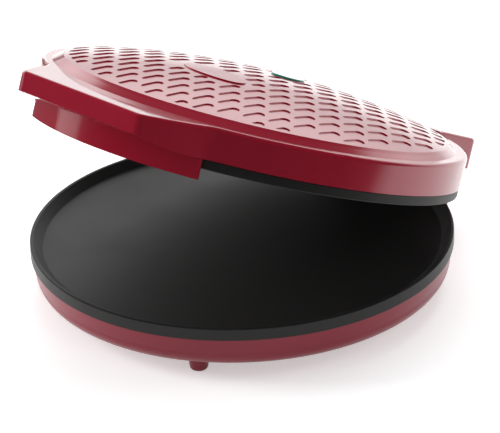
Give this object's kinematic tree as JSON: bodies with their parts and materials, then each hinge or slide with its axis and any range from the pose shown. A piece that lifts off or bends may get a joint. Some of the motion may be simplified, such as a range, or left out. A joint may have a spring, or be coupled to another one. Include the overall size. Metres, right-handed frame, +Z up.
{
  "type": "electric pizza maker",
  "caption": "Round electric pizza maker: a shallow griddle base on small feet under a hinged, domed lid with a broad front handle and an indicator lens.",
  "frame": {"origin": "on the table plane, under the centre of the round base", "axes": "+Z up, -Y towards the front handle, +Y towards the hinge, +X to the right as seen from the front"},
  "size_m": [0.3264, 0.3545, 0.2136],
  "materials": {
    "black_rubber": "matte",
    "dark_phenolic": "matte",
    "element_steel": "satin",
    "green_lens": "clear glossy",
    "lamp_glass": "clear",
    "nonstick": "fine textured non-stick",
    "red_base": "satin",
    "red_gloss": "glossy",
    "sheet_steel": "satin",
    "sleeving": "matte",
    "white_nylon": "matte",
    "zinc_steel": "satin"
  },
  "bodies": {
    "base": {"base_shell": "red_base", "feet": "red_base", "lower_plate": "nonstick", "lower_heater": "element_steel", "lower_heater_straps": "sheet_steel", "lower_reflector": "sheet_steel", "lower_thermostat": "dark_phenolic", "base_screws": "zinc_steel", "thermal_fuse": "sleeving", "terminal_block": "white_nylon", "cord_gland": "black_rubber", "hinge_pins": "zinc_steel", "pin_clips": "zinc_steel"},
    "lid": {"lid_shell": "red_gloss", "handle_guard": "red_gloss", "upper_plate": "nonstick", "upper_heater": "element_steel", "upper_heater_straps": "sheet_steel", "upper_reflector": "sheet_steel", "upper_thermostat": "dark_phenolic", "reflector_screws": "zinc_steel", "lid_screws": "zinc_steel", "guard_screws": "zinc_steel", "indicator_lens": "green_lens", "lamp_holder": "dark_phenolic", "indicator_lamp": "lamp_glass"}
  },
  "joints": [
    {"name": "lid_hinge", "type": "hinge", "parent": "base", "child": "lid", "pos_m": [0, 0.175, 0.0595], "axis": [-1, 0, 0], "range_deg": [-22.3, 72.7]}
  ]
}
